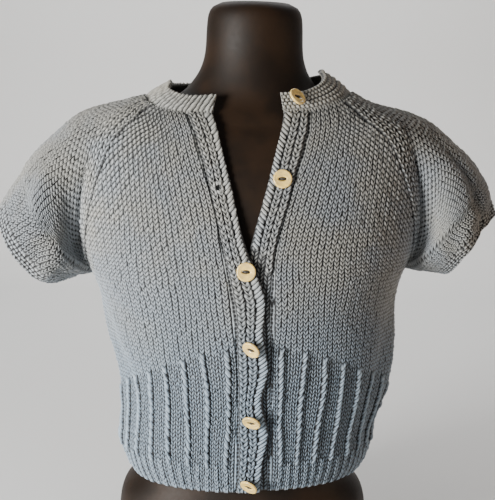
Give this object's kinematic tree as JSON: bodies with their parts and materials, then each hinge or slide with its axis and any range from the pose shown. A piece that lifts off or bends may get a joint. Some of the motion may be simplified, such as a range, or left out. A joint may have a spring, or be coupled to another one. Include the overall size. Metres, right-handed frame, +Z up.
{
  "type": "short-sleeved knitted raglan cardigan on a limbless dress form",
  "caption": "Hand-knitted short-sleeved raglan cardigan with ribbed welt, buttoned front bands and a cord neckband, worn on a dark limbless dress form that stands on its flat base.",
  "frame": {"origin": "centre of the dress form's flat base, on the surface it stands on", "axes": "+Z up; the garment faces -Y, so +X is on the wearer's left"},
  "size_m": [0.5055, 0.244, 0.582],
  "materials": {
    "blue_grey_yarn": "hand-knitted matte yarn",
    "dark_form": "dark brown satin shell",
    "cream_shell": "polished natural shell"
  },
  "bodies": {
    "root": {"form": "dark_form", "back": "blue_grey_yarn", "front_right": "blue_grey_yarn", "front_left": "blue_grey_yarn", "sleeve_right": "blue_grey_yarn", "sleeve_left": "blue_grey_yarn", "neckband": "blue_grey_yarn", "buttonhole_band": "blue_grey_yarn", "button_band": "blue_grey_yarn", "button_1": "cream_shell", "button_2": "cream_shell", "button_3": "cream_shell", "button_4": "cream_shell", "button_5": "cream_shell", "button_6": "cream_shell"}
  },
  "joints": []
}
